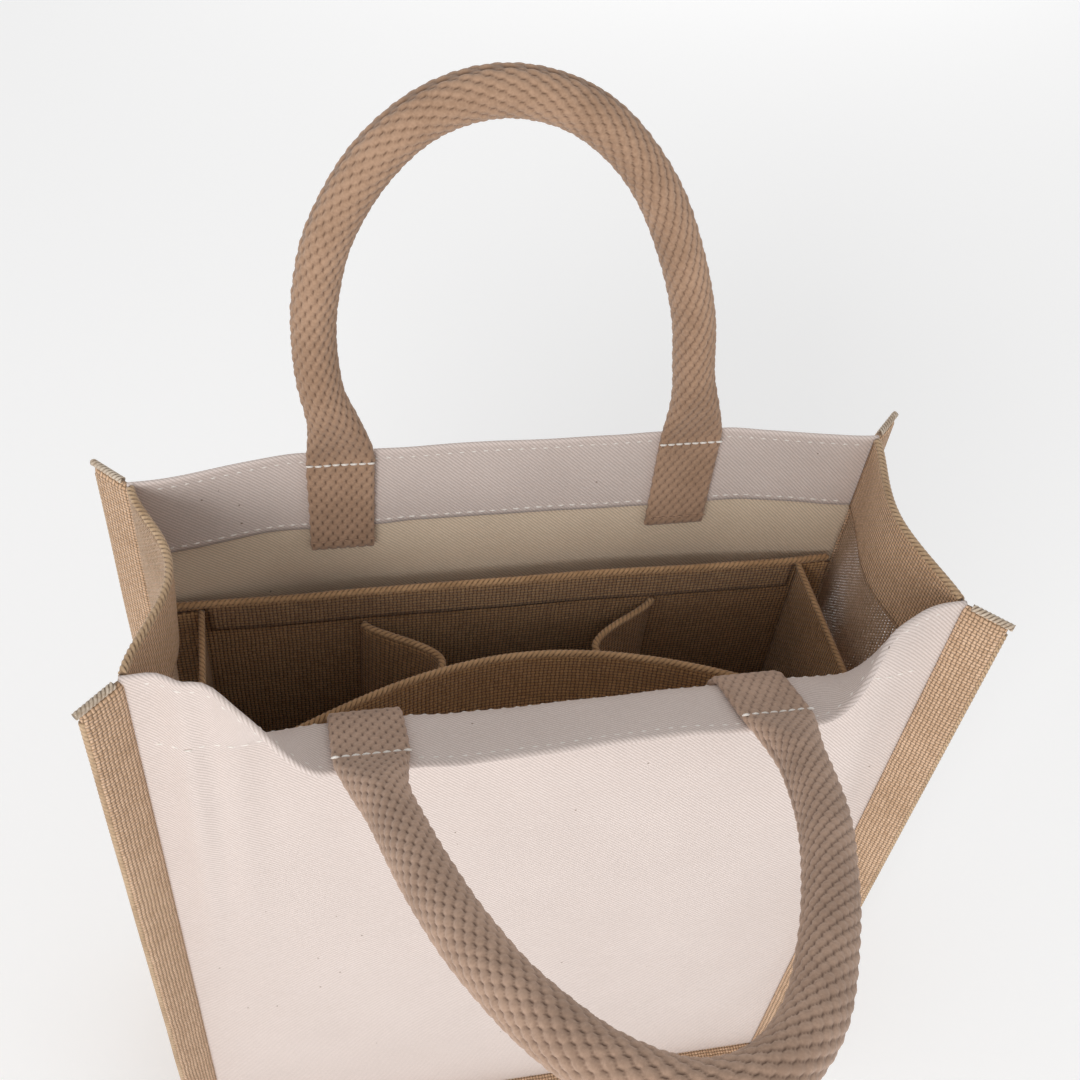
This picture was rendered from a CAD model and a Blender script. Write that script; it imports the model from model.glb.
"""A cloth gift bag for wine: canvas panels, jute gussets, padded webbing handles and a jute insert.

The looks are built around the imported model, in metres, in its own frame.
"""

import logging
import math
from dataclasses import dataclass, field
from enum import Enum
from typing import Callable, Optional, Sequence

import bmesh
import bpy
from mathutils import Matrix, Vector, noise


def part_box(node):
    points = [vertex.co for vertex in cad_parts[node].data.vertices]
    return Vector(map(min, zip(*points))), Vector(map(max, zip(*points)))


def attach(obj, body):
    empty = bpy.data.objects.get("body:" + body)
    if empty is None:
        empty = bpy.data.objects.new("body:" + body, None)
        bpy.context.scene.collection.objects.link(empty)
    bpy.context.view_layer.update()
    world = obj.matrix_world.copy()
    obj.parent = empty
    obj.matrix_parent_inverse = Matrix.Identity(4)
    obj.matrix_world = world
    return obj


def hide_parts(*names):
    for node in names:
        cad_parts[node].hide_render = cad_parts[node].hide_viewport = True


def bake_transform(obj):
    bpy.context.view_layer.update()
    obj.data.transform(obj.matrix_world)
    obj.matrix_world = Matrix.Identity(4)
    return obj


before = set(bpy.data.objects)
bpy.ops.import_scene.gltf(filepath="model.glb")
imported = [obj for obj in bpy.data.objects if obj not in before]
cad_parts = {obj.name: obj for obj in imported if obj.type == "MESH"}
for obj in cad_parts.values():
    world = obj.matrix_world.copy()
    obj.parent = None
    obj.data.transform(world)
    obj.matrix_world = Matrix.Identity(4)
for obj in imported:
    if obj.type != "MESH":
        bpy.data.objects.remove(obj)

LOG = logging.getLogger("wine_gift_bag")
MM = 0.001
FLAT_MAP = "flat"
RELIEF = "relief"
SLOPE_STEP = 0.2 * MM  # over which a cloth's slope is read
FOLD_STEP = 0.5 * MM  # over which the way a wall's edge points is read
SHEEN_ROUGHNESS = 0.6
SPECULAR = 0.2
THREAD_STRETCH = 0.21  # of the tone along one thread
COLUMN_SEED = 3.7
ROW_SEED = 5.3
UP = Vector((0, 0, 1))
ACROSS = Vector((1, 0, 0))
CREASES = (  # place across the front panel, height and width of each soft crease
    (-122 * MM, 3.6 * MM, 5.5 * MM),
    (-108 * MM, 2.2 * MM, 7 * MM),
    (118 * MM, 2.0 * MM, 8 * MM),
)
Place = Callable[[float, float], Vector]
Colour = tuple[float, float, float]


# ------------------------------------------------------------------ small helpers
def ease(share: float) -> float:
    """Smooth step from 0 to 1."""
    share = min(max(share, 0.0), 1.0)
    return share * share * (3 - 2 * share)


def mix(low: float, high: float, share: float) -> float:
    """The value a share of the way from low to high."""
    return low + (high - low) * share


def spread(low: float, high: float, count: int) -> list[float]:
    """Evenly spaced values, both ends included."""
    return [mix(low, high, i / (count - 1)) for i in range(count)]


def ripple(x: float, z: float, scale: float, seed: float) -> float:
    """Smooth wandering value between about -1 and 1.

    Args:
        x: First place along the cloth, in metres.
        z: Second place along the cloth, in metres.
        scale: Size of one ripple, in metres.
        seed: Picks another pattern.

    Returns:
        The value at that place.
    """
    return noise.noise(Vector((x / scale + seed, z / scale - seed, seed * 1.7)))


def lifted(place: Place, u: float, v: float, lift: float) -> Vector:
    """A point of a cloth's outer face, moved inwards along its own normal.

    Args:
        place: The outer face, with u x v pointing outwards.
        u: Place across the cloth.
        v: Place along the cloth.
        lift: How far inwards, in metres.

    Returns:
        The moved point.
    """
    slope_u = place(u + SLOPE_STEP, v) - place(u - SLOPE_STEP, v)
    slope_v = place(u, v + SLOPE_STEP) - place(u, v - SLOPE_STEP)
    return place(u, v) - slope_u.cross(slope_v).normalized() * lift


def hemmed(place: Place, height: float, thick: float, gap: float) -> Place:
    """A wall whose top edge is folded inwards and hemmed.

    Args:
        place: The wall's outer face.
        height: Cut length of the wall up to its top edge.
        thick: Thickness of the cloth.
        gap: Air between the two layers.

    Returns:
        The outer face of the whole piece, hem included.
    """
    radius = thick + gap / 2
    turn = math.pi * radius

    def folded(u: float, v: float) -> Vector:
        """Outer face of the wall and its hem.

        Args:
            u: Place across the cloth.
            v: Place along the cloth.

        Returns:
            The place in space.
        """
        if v <= height:
            return place(u, v)
        past = v - height
        if past < turn:
            angle = past / radius
            step = place(u, height) - place(u, height - FOLD_STEP)
            over = lifted(place, u, height, radius * (1 - math.cos(angle)))
            return over + step.normalized() * (radius * math.sin(angle))
        return lifted(place, u, height - (past - turn), 2 * radius)

    return folded


# ------------------------------------------------------------------ materials
class Nodes:
    """A thin wrapper that adds nodes to one material."""

    def __init__(self, name: str) -> None:
        """Makes an empty material with a Principled shader.

        Args:
            name: Name of the material.
        """
        self.material = bpy.data.materials.new(name)
        self.material.use_nodes = True
        self.tree = self.material.node_tree
        self.shader = self.tree.nodes["Principled BSDF"]

    def add(self, kind: str, **settings: object) -> bpy.types.Node:
        """Adds a node. A setting whose name is a socket's sets that socket.

        Args:
            kind: The node's type.
            **settings: Its properties, and its sockets by name.

        Returns:
            The new node.
        """
        node = self.tree.nodes.new(kind)
        for name, value in settings.items():
            if hasattr(node, name):
                setattr(node, name, value)
            else:
                self.feed(node, name.replace("_", " "), value)
        return node

    def feed(self, node: bpy.types.Node, socket: object, value: object) -> None:
        """Links or sets one input of a node.

        Args:
            node: The node.
            socket: Name or number of its input.
            value: A socket to link, or a plain value.
        """
        target = node.inputs[socket]
        if isinstance(value, bpy.types.NodeSocket):
            self.tree.links.new(value, target)
        else:
            target.default_value = value

    def math(self, operation: str, *values: object) -> bpy.types.NodeSocket:
        """A Math node's result.

        Args:
            operation: What it does.
            *values: Its inputs, in order.

        Returns:
            Its output.
        """
        node = self.add("ShaderNodeMath", operation=operation)
        for index, value in enumerate(values):
            self.feed(node, index, value)
        return node.outputs[0]

    def pick(self, share: object, first: object, second: object) -> bpy.types.NodeSocket:
        """A value between two values.

        Args:
            share: How far to go towards the second.
            first: The value at 0.
            second: The value at 1.

        Returns:
            The value between them.
        """
        node = self.add("ShaderNodeMix", data_type="FLOAT")
        for index, value in ((0, share), (2, first), (3, second)):
            self.feed(node, index, value)
        return node.outputs[0]

    def blend(self, share: object, first: object, second: object) -> bpy.types.NodeSocket:
        """A colour between two colours.

        Args:
            share: How far to go towards the second.
            first: The colour at 0.
            second: The colour at 1.

        Returns:
            The colour between them.
        """
        node = self.add("ShaderNodeMix", data_type="RGBA")
        self.feed(node, 0, share)
        self.feed(node, 6, self.opaque(first))
        self.feed(node, 7, self.opaque(second))
        return node.outputs[2]

    @staticmethod
    def opaque(colour: object) -> object:
        """Adds an alpha of 1 to a plain colour.

        Args:
            colour: A colour, or a socket that gives one.

        Returns:
            The colour with its alpha, or the same socket.
        """
        if isinstance(colour, tuple) and len(colour) == 3:
            return (*colour, 1.0)
        return colour

    def noise(self, vector: object, scale: float, detail: float = 2.0) -> bpy.types.NodeSocket:
        """A Noise texture's value.

        Args:
            vector: Where it is read.
            scale: How fine it is.
            detail: How many finer layers it has.

        Returns:
            Its value.
        """
        node = self.add("ShaderNodeTexNoise", Scale=scale, Detail=detail)
        self.feed(node, "Vector", vector)
        return node.outputs["Fac"]

    def ramp(self, value: object, low: float, high: float) -> bpy.types.NodeSocket:
        """Maps a value to 0 at low and 1 at high, smoothly.

        Args:
            value: The value to map.
            low: Where it is 0.
            high: Where it is 1.

        Returns:
            The mapped value.
        """
        node = self.add("ShaderNodeMapRange", interpolation_type="SMOOTHSTEP")
        self.feed(node, "Value", value)
        self.feed(node, "From Min", low)
        self.feed(node, "From Max", high)
        return node.outputs[0]

    def combine(self, x: object, y: object) -> bpy.types.NodeSocket:
        """A vector from two values.

        Args:
            x: The first value.
            y: The second value.

        Returns:
            The vector.
        """
        node = self.add("ShaderNodeCombineXYZ")
        self.feed(node, 0, x)
        self.feed(node, 1, y)
        return node.outputs[0]

    def surface(
        self, colour: object, height: object, strength: float, relief: float, roughness: object, sheen: float
    ) -> None:
        """Sets a dull fibrous surface.

        Args:
            colour: Its base colour.
            height: Height of its fine relief.
            strength: How strongly the relief shows.
            relief: Depth of the relief, in metres.
            roughness: Its roughness.
            sheen: Weight of its sheen.
        """
        bump = self.add("ShaderNodeBump", Strength=strength, Distance=relief)
        self.feed(bump, "Height", height)
        self.feed(self.shader, "Base Color", colour)
        self.feed(self.shader, "Normal", bump.outputs[0])
        self.feed(self.shader, "Roughness", roughness)
        self.feed(self.shader, "Sheen Weight", sheen)
        self.feed(self.shader, "Sheen Roughness", SHEEN_ROUGHNESS)
        self.feed(self.shader, "Specular IOR Level", SPECULAR)


class Pattern(Enum):
    """How a cloth's threads cross."""

    PLAIN = "plain"
    TWILL = "twill"


@dataclass(frozen=True)
class Weave:
    """A woven cloth's finish, drawn on its flat map in metres."""

    name: str
    pitch: float  # between threads
    light: Colour
    dark: Colour
    crevice: Colour
    pattern: Pattern = Pattern.PLAIN
    opening: float = 0.0  # how much of each gap between threads is open
    relief: float = 0.3 * MM
    wander: float = 0.25 * MM  # how far the threads stray
    roughness: float = 0.9
    sheen: float = 0.15
    speck: Optional[Colour] = None
    wale: float = 1.15 * MM  # between a twill's diagonal lines
    wale_way: float = 1.0  # 1 down to the right, -1 down to the left

    def make(self) -> bpy.types.Material:
        """Builds the material.

        Returns:
            The finished material.
        """
        nodes = Nodes(self.name)
        flat = nodes.add("ShaderNodeUVMap", uv_map=FLAT_MAP).outputs[0]
        stray = nodes.add("ShaderNodeTexNoise", Scale=90.0, Detail=2.0)
        nodes.feed(stray, "Vector", flat)
        centred = nodes.add("ShaderNodeVectorMath", operation="SUBTRACT")
        nodes.feed(centred, 0, stray.outputs["Color"])
        nodes.feed(centred, 1, (0.5, 0.5, 0.5))
        moved = nodes.add("ShaderNodeVectorMath", operation="MULTIPLY_ADD")
        nodes.feed(moved, 0, centred.outputs[0])
        nodes.feed(moved, 1, (self.wander * 4, self.wander * 4, 0.0))
        nodes.feed(moved, 2, flat)
        mapped = nodes.add("ShaderNodeMapping")
        nodes.feed(mapped, "Vector", moved.outputs[0])
        nodes.feed(mapped, "Scale", (1 / self.pitch, 1 / self.pitch, 1.0))
        parts = nodes.add("ShaderNodeSeparateXYZ")
        nodes.feed(parts, 0, mapped.outputs[0])
        x, y = parts.outputs[0], parts.outputs[1]
        across, along, over = self.threads(nodes, x, y)
        height = self.height(nodes, across, along, over)
        tone = self.tone(nodes, x, y, over, flat)
        if self.pattern is Pattern.TWILL:
            height = self.diagonal(nodes, height, moved.outputs[0])
        shade = nodes.ramp(height, 0.05, 0.75)
        colour = nodes.blend(shade, self.crevice, nodes.blend(tone, self.dark, self.light))
        if self.speck:
            colour = self.specks(nodes, flat, colour)
        rough = nodes.math("MULTIPLY_ADD", tone, -0.12, self.roughness + 0.04)
        nodes.surface(colour, height, 0.9, self.relief, rough, self.sheen)
        if self.opening > 0:
            self.open_gaps(nodes, across, along, flat)
        return nodes.material

    def threads(self, nodes: Nodes, x: object, y: object) -> tuple:
        """Rounded profiles of the two sets of threads, and which set is on top.

        Args:
            nodes: The material being built.
            x: Thread count across.
            y: Thread count along.

        Returns:
            The profile across, the profile along, and 1 where the first set is on top.
        """
        across = nodes.math("ABSOLUTE", nodes.math("SINE", nodes.math("MULTIPLY", x, math.pi)))
        along = nodes.math("ABSOLUTE", nodes.math("SINE", nodes.math("MULTIPLY", y, math.pi)))
        column = nodes.math("FLOOR", x)
        row = nodes.math("FLOOR", y)
        count = 2.0 if self.pattern is Pattern.PLAIN else 3.0
        step = nodes.math("FLOORED_MODULO", nodes.math("ADD", column, row), count)
        over = nodes.math("LESS_THAN", step, 0.5)
        return across, along, over

    def height(self, nodes: Nodes, across: object, along: object, over: object) -> object:
        """Height of the weave, from 0 in the gaps to 1 on the top of a thread.

        Args:
            nodes: The material being built.
            across: Profile of the threads across.
            along: Profile of the threads along.
            over: 1 where the first set is on top.

        Returns:
            The height.
        """
        first = nodes.math("MULTIPLY", across, nodes.math("MULTIPLY_ADD", along, 0.45, 0.55))
        second = nodes.math("MULTIPLY", along, nodes.math("MULTIPLY_ADD", across, 0.45, 0.55))
        return nodes.pick(over, second, first)

    def diagonal(self, nodes: Nodes, height: object, flat: object) -> object:
        """Adds a twill's diagonal lines to the height of the weave.

        Args:
            nodes: The material being built.
            height: Height of the weave.
            flat: Place on the flat map.

        Returns:
            The height with its lines.
        """
        parts = nodes.add("ShaderNodeSeparateXYZ")
        nodes.feed(parts, 0, flat)
        both = nodes.math("MULTIPLY_ADD", parts.outputs[0], self.wale_way, parts.outputs[1])
        wave = nodes.math("SINE", nodes.math("MULTIPLY", both, math.tau / (self.wale * math.sqrt(2.0))))
        ribs = nodes.math("MULTIPLY_ADD", wave, 0.33, 0.36)
        return nodes.math("MULTIPLY_ADD", height, 0.3, ribs)

    def tone(self, nodes: Nodes, x: object, y: object, over: object, flat: object) -> object:
        """Light and dark from thread to thread, and over the cloth.

        Args:
            nodes: The material being built.
            x: Thread count across.
            y: Thread count along.
            over: 1 where the first set is on top.
            flat: Place on the flat map.

        Returns:
            The tone, from 0 for dark to 1 for light.
        """
        column = nodes.math("MULTIPLY", nodes.math("FLOOR", x), COLUMN_SEED)
        row = nodes.math("MULTIPLY", nodes.math("FLOOR", y), ROW_SEED)
        first = nodes.noise(nodes.combine(column, nodes.math("MULTIPLY", y, THREAD_STRETCH)), 1.0)
        second = nodes.noise(nodes.combine(nodes.math("MULTIPLY", x, THREAD_STRETCH), row), 1.0)
        thread = nodes.math("MULTIPLY", nodes.pick(over, second, first), 0.7)
        patch = nodes.math("MULTIPLY", nodes.noise(flat, 22.0, 3.0), 0.3)
        return nodes.ramp(nodes.math("ADD", thread, patch), 0.32, 0.66)

    def specks(self, nodes: Nodes, flat: object, colour: object) -> object:
        """Adds the seed specks of unbleached cotton.

        Args:
            nodes: The material being built.
            flat: Place on the flat map.
            colour: The cloth's colour.

        Returns:
            The colour with its specks.
        """
        cells = nodes.add("ShaderNodeTexVoronoi", Scale=170.0)
        nodes.feed(cells, "Vector", flat)
        rare = nodes.math("GREATER_THAN", nodes.noise(cells.outputs["Position"], 900.0, 0.0), 0.66)
        near = nodes.math("LESS_THAN", cells.outputs["Distance"], 0.075)
        share = nodes.math("MULTIPLY", nodes.math("MULTIPLY", rare, near), 0.75)
        return nodes.blend(share, colour, self.speck)

    def open_gaps(self, nodes: Nodes, across: object, along: object, flat: object) -> None:
        """Cuts the holes between the threads.

        Args:
            nodes: The material being built.
            across: Profile of the threads across.
            along: Profile of the threads along.
            flat: Place on the flat map.
        """
        uneven = nodes.math("MULTIPLY_ADD", nodes.noise(flat, 500.0, 1.0), 0.5, -0.25)
        edge = nodes.math("ADD", self.opening, uneven)
        solid = nodes.math("GREATER_THAN", nodes.math("MAXIMUM", across, along), edge)
        nodes.feed(nodes.shader, "Alpha", solid)


@dataclass(frozen=True)
class Yarn:
    """Finish of a modelled yarn, rope or knotted webbing, darker in its crevices."""

    name: str
    light: Colour
    dark: Colour
    crevice: Colour
    fibre: float = 0.35 * MM
    relief: float = 0.12 * MM
    roughness: float = 0.92
    sheen: float = 0.2

    def make(self) -> bpy.types.Material:
        """Builds the material.

        Returns:
            The finished material.
        """
        nodes = Nodes(self.name)
        place = nodes.add("ShaderNodeTexCoord").outputs["Object"]
        depth = nodes.add("ShaderNodeAttribute", attribute_name=RELIEF).outputs["Fac"]
        patch = nodes.noise(place, 60.0, 3.0)
        fine = nodes.noise(place, 1 / self.fibre / 3, 4.0)
        both = nodes.math("ADD", nodes.math("MULTIPLY", patch, 0.5), nodes.math("MULTIPLY", fine, 0.5))
        tone = nodes.ramp(both, 0.34, 0.66)
        body = nodes.blend(tone, self.dark, self.light)
        shade = nodes.ramp(depth, 0.0, 0.8)
        strands = nodes.noise(place, 1 / self.fibre, 3.0)
        rough = nodes.math("MULTIPLY_ADD", fine, -0.1, self.roughness + 0.05)
        colour = nodes.blend(shade, self.crevice, body)
        nodes.surface(colour, strands, 0.8, self.relief, rough, self.sheen)
        return nodes.material


@dataclass(frozen=True)
class Palette:
    """Every finish of the bag."""

    canvas: bpy.types.Material
    canvas_back: bpy.types.Material
    gusset: bpy.types.Material
    gusset_hem: bpy.types.Material
    base: bpy.types.Material
    binding: bpy.types.Material
    insert: bpy.types.Material
    insert_hem: bpy.types.Material
    webbing: bpy.types.Material
    webbing_shaded: bpy.types.Material
    rope: bpy.types.Material
    edging: bpy.types.Material
    insert_edging: bpy.types.Material
    thread: bpy.types.Material
    raw_end: bpy.types.Material

    @classmethod
    def make(cls) -> "Palette":
        """Builds all the finishes.

        Returns:
            The finishes.
        """
        speck: Colour = (0.16, 0.10, 0.06)
        return cls(
            canvas=Weave(
                "canvas_face", 0.5 * MM, (0.78, 0.675, 0.63), (0.70, 0.60, 0.555), (0.53, 0.445, 0.40),
                Pattern.TWILL, relief=0.14 * MM, wander=0.06 * MM, speck=speck,
            ).make(),
            canvas_back=Weave(
                "canvas_back", 0.5 * MM, (0.90, 0.745, 0.585), (0.80, 0.655, 0.50), (0.58, 0.465, 0.335),
                Pattern.TWILL, relief=0.14 * MM, wander=0.06 * MM, speck=speck, wale_way=-1.0,
            ).make(),
            gusset=Weave(
                "jute_gusset", 1.7 * MM, (0.70, 0.485, 0.325), (0.52, 0.34, 0.21), (0.25, 0.15, 0.08),
                opening=0.7, relief=0.5 * MM,
            ).make(),
            gusset_hem=Weave(
                "jute_gusset_hem", 1.5 * MM, (0.80, 0.525, 0.325), (0.60, 0.375, 0.215), (0.26, 0.15, 0.078),
                opening=0.12, relief=0.5 * MM,
            ).make(),
            base=Weave(
                "jute_base", 1.6 * MM, (0.60, 0.43, 0.27), (0.43, 0.29, 0.17), (0.18, 0.105, 0.05),
                opening=0.15, relief=0.5 * MM,
            ).make(),
            binding=Weave(
                "jute_binding", 1.55 * MM, (0.75, 0.505, 0.33), (0.55, 0.345, 0.205), (0.22, 0.13, 0.065),
                relief=0.6 * MM, wander=0.3 * MM,
            ).make(),
            insert=Weave(
                "jute_insert", 1.6 * MM, (0.62, 0.365, 0.175), (0.43, 0.24, 0.108), (0.13, 0.064, 0.027),
                opening=0.14, relief=0.5 * MM,
            ).make(),
            insert_hem=Weave(
                "jute_insert_hem", 1.6 * MM, (0.52, 0.315, 0.16), (0.36, 0.205, 0.1), (0.11, 0.055, 0.025),
                relief=0.5 * MM,
            ).make(),
            webbing=Yarn(
                "webbing_tan", (0.45, 0.285, 0.187), (0.34, 0.208, 0.13), (0.11, 0.06, 0.034),
            ).make(),
            webbing_shaded=Yarn(
                "webbing_brown", (0.48, 0.32, 0.23), (0.36, 0.235, 0.165), (0.12, 0.07, 0.046),
            ).make(),
            rope=Yarn("rope_cotton", (0.74, 0.66, 0.54), (0.60, 0.52, 0.40), (0.3, 0.24, 0.17)).make(),
            edging=Yarn("edging_jute", (0.60, 0.42, 0.26), (0.42, 0.27, 0.15), (0.13, 0.075, 0.038)).make(),
            insert_edging=Yarn(
                "edging_insert", (0.58, 0.36, 0.19), (0.40, 0.235, 0.115), (0.12, 0.06, 0.027),
            ).make(),
            thread=Yarn(
                "thread_white", (0.88, 0.84, 0.79), (0.78, 0.73, 0.67), (0.5, 0.45, 0.4), relief=0.04 * MM
            ).make(),
            raw_end=Yarn("thread_ends", (0.66, 0.56, 0.45), (0.42, 0.31, 0.21), (0.13, 0.08, 0.045)).make(),
        )


# ------------------------------------------------------------------ mesh builders
def finish_object(
    mesh: bmesh.types.BMesh, name: str, materials: Sequence[bpy.types.Material]
) -> bpy.types.Object:
    """Turns a bmesh into a smooth object in the scene.

    Args:
        mesh: The geometry, which is freed.
        name: Name of the piece.
        materials: Its materials, in the order of their indices.

    Returns:
        The new object.
    """
    data = bpy.data.meshes.new(name)
    mesh.to_mesh(data)
    mesh.free()
    for material in materials:
        data.materials.append(material)
    data.polygons.foreach_set("use_smooth", [True] * len(data.polygons))
    piece = bpy.data.objects.new(name, data)
    bpy.context.scene.collection.objects.link(piece)
    return piece


def settle(piece: bpy.types.Object, slot: str, body: str, *nodes: str) -> bpy.types.Object:
    """Gives a finished piece its place in the model.

    Args:
        piece: The piece.
        slot: Its material slot.
        body: The body it rides on.
        *nodes: The CAD nodes it stands for, if any.

    Returns:
        The same piece.
    """
    if nodes:
        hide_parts(*nodes)
    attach(piece, body)
    return piece


def sheet_mesh(
    columns: Sequence[float], rows: Sequence[float], place: Place, flat: Optional[Callable] = None
) -> bmesh.types.BMesh:
    """A grid of cloth with one vertex for each column and row.

    Args:
        columns: Places across the cloth.
        rows: Places along the cloth.
        place: Where a place on the cloth lies in space.
        flat: Where it lies on the flat map, if not at the same two values.

    Returns:
        The mesh, with its flat map.
    """
    mesh = bmesh.new()
    wide, long = len(columns) - 1, len(rows) - 1
    bmesh.ops.create_grid(mesh, x_segments=wide, y_segments=long, size=1.0)
    layer = mesh.loops.layers.uv.new(FLAT_MAP)
    places: dict[bmesh.types.BMVert, tuple[float, float]] = {}
    for vertex in mesh.verts:
        column = columns[round((vertex.co.x + 1) / 2 * wide)]
        row = rows[round((vertex.co.y + 1) / 2 * long)]
        places[vertex] = flat(column, row) if flat else (column, row)
        vertex.co = place(column, row)
    for face in mesh.faces:
        for loop in face.loops:
            loop[layer].uv = places[loop.vert]
    return mesh


def thicken(piece: bpy.types.Object, thickness: float, inner: int = 0) -> None:
    """Gives a sheet its thickness, inwards from its outer face.

    Args:
        piece: The sheet.
        thickness: In metres.
        inner: How many slots on the inner face's material is.
    """
    solid = piece.modifiers.new("thickness", "SOLIDIFY")
    solid.thickness = thickness
    solid.offset = -1.0
    solid.material_offset = inner


@dataclass
class Route:
    """A smooth line through points, with a facing direction at each."""

    points: list[Vector]
    facings: list[Vector]
    per_span: int = 24

    def sampled(self, spacing: float) -> list[tuple[Vector, Vector, Vector, float]]:
        """Evenly spaced places along the line.

        Args:
            spacing: About how far apart, in metres.

        Returns:
            The place, direction, facing and distance of each.
        """
        fine: list[tuple[Vector, Vector]] = []
        ends = [self.points[0] * 2 - self.points[1], *self.points, self.points[-1] * 2 - self.points[-2]]
        for index in range(len(self.points) - 1):
            before, start, stop, after = ends[index : index + 4]
            for step in range(self.per_span):
                t = step / self.per_span
                square, cube = t * t, t * t * t
                point = start * 2 + (stop - before) * t
                point += (before * 2 - start * 5 + stop * 4 - after) * square
                point += (start * 3 - before - stop * 3 + after) * cube
                facing = self.facings[index].lerp(self.facings[index + 1], t)
                fine.append((point / 2, facing))
        fine.append((self.points[-1], self.facings[-1]))
        reach = [0.0]
        for (first, _), (second, _) in zip(fine, fine[1:]):
            reach.append(reach[-1] + (second - first).length)
        count = max(int(reach[-1] / spacing), 4)
        places = []
        index = 0
        for target in spread(0.0, reach[-1], count + 1):
            while index < len(reach) - 2 and reach[index + 1] < target:
                index += 1
            span = max(reach[index + 1] - reach[index], 1e-9)
            share = (target - reach[index]) / span
            point = fine[index][0].lerp(fine[index + 1][0], share)
            facing = fine[index][1].lerp(fine[index + 1][1], share)
            places.append((point, facing, target))
        result = []
        for number, (point, facing, target) in enumerate(places):
            ahead = places[min(number + 1, len(places) - 1)][0]
            behind = places[max(number - 1, 0)][0]
            direction = (ahead - behind).normalized()
            square_on = (facing - direction * facing.dot(direction)).normalized()
            result.append((point, direction, square_on, target))
        return result


def tube_mesh(
    places: Sequence[tuple[Vector, Vector, Vector, float]],
    section: Callable[[float, float], tuple[float, float, float]],
    sides: int,
) -> bmesh.types.BMesh:
    """A closed tube along a route.

    Args:
        places: The route's samples.
        section: For a turn round the tube and a distance along it, how far to go across and
            towards the facing, and how high the surface's relief is.
        sides: Number of faces round it.

    Returns:
        The mesh, with its flat map and relief.
    """
    mesh = bmesh.new()
    count = len(places) - 1
    bmesh.ops.create_grid(mesh, x_segments=sides, y_segments=count, size=1.0)
    layer = mesh.loops.layers.uv.new(FLAT_MAP)
    relief = mesh.verts.layers.float.new(RELIEF)
    flat: dict[bmesh.types.BMVert, tuple[float, float]] = {}
    outline = [Vector(section(i / sides, places[count // 2][3])[:2]) for i in range(sides + 1)]
    girth = [0.0]
    for first, second in zip(outline, outline[1:]):
        girth.append(girth[-1] + (second - first).length)
    for vertex in mesh.verts:
        turn = (vertex.co.x + 1) / 2
        point, direction, facing, reach = places[round((vertex.co.y + 1) / 2 * count)]
        across, out, height = section(turn, reach)
        vertex.co = point + direction.cross(facing) * across + facing * out
        vertex[relief] = height
        flat[vertex] = (girth[round(turn * sides)], reach)
    for face in mesh.faces:
        for loop in face.loops:
            loop[layer].uv = flat[loop.vert]
    bmesh.ops.remove_doubles(mesh, verts=mesh.verts, dist=1e-6)
    rims = [edge for edge in mesh.edges if edge.is_boundary]
    bmesh.ops.holes_fill(mesh, edges=rims, sides=0)
    bmesh.ops.triangulate(mesh, faces=[face for face in mesh.faces if len(face.verts) > 4])
    bmesh.ops.recalc_face_normals(mesh, faces=mesh.faces)
    return mesh


def twisted_cord(
    name: str,
    route: Route,
    radius: float,
    lay: float,
    material: bpy.types.Material,
    sides: int = 12,
    strands: int = 3,
) -> bpy.types.Object:
    """A rope or overlocked edge of twisted strands.

    Args:
        name: Name of the piece.
        route: Its middle line.
        radius: Its outer radius.
        lay: Length of one full twist.
        material: Its finish.
        sides: Faces round it.
        strands: Number of strands.

    Returns:
        The new object.
    """

    def section(turn: float, reach: float) -> tuple[float, float, float]:
        """Outline of the twisted strands.

        Args:
            turn: Share of the way round.
            reach: Distance along it.

        Returns:
            How far across and out, and the height of the relief.
        """
        angle = turn * math.tau
        bulge = abs(math.cos((angle - reach / lay * math.tau) * strands / 2))
        size = radius * (0.72 + 0.28 * bulge)
        return size * math.cos(angle), size * math.sin(angle), bulge

    return finish_object(tube_mesh(route.sampled(lay / 9), section, sides), name, [material])


def stitch_spot(
    place: Place, u: float, v: float, lift: float, way: float = 1.0
) -> tuple[Vector, Vector, Vector]:
    """Where a stitch lies on a cloth.

    Args:
        place: The cloth's outer face.
        u: Place across the cloth.
        v: Place along the cloth.
        lift: How far inwards from the outer face.
        way: 1 if it faces inwards, -1 outwards.

    Returns:
        Its middle, its direction and the way it faces.
    """
    middle = lifted(place, u, v, lift)
    ahead = lifted(place, u + 1 * MM, v, lift)
    inward = lifted(place, u, v, lift + 1 * MM) - middle
    return middle, (ahead - middle).normalized(), inward.normalized() * way


def stitch_row(
    name: str,
    spots: Sequence[tuple[Vector, Vector, Vector]],
    length: float,
    radius: float,
    material: bpy.types.Material,
) -> bpy.types.Object:
    """A row of single stitches.

    Args:
        name: Name of the piece.
        spots: For each stitch, its middle, its direction and the way it faces.
        length: Of one stitch.
        radius: Of the thread.
        material: Its finish.

    Returns:
        The new object.
    """
    mesh = bmesh.new()
    relief = mesh.verts.layers.float.new(RELIEF)
    for middle, direction, facing in spots:
        turned = Matrix((direction.cross(facing), direction, facing)).transposed().to_4x4()
        made = bmesh.ops.create_icosphere(mesh, subdivisions=1, radius=1.0)
        for vertex in made["verts"]:
            local = vertex.co.copy()
            arch = (1 - local.y * local.y) * radius * 0.9
            sized = Vector((local.x * radius, local.y * length / 2, local.z * radius + arch - radius * 0.7))
            vertex.co = middle + turned.to_3x3() @ sized
            vertex[relief] = 0.6 + 0.4 * local.z
    return finish_object(mesh, name, [material])


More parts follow.
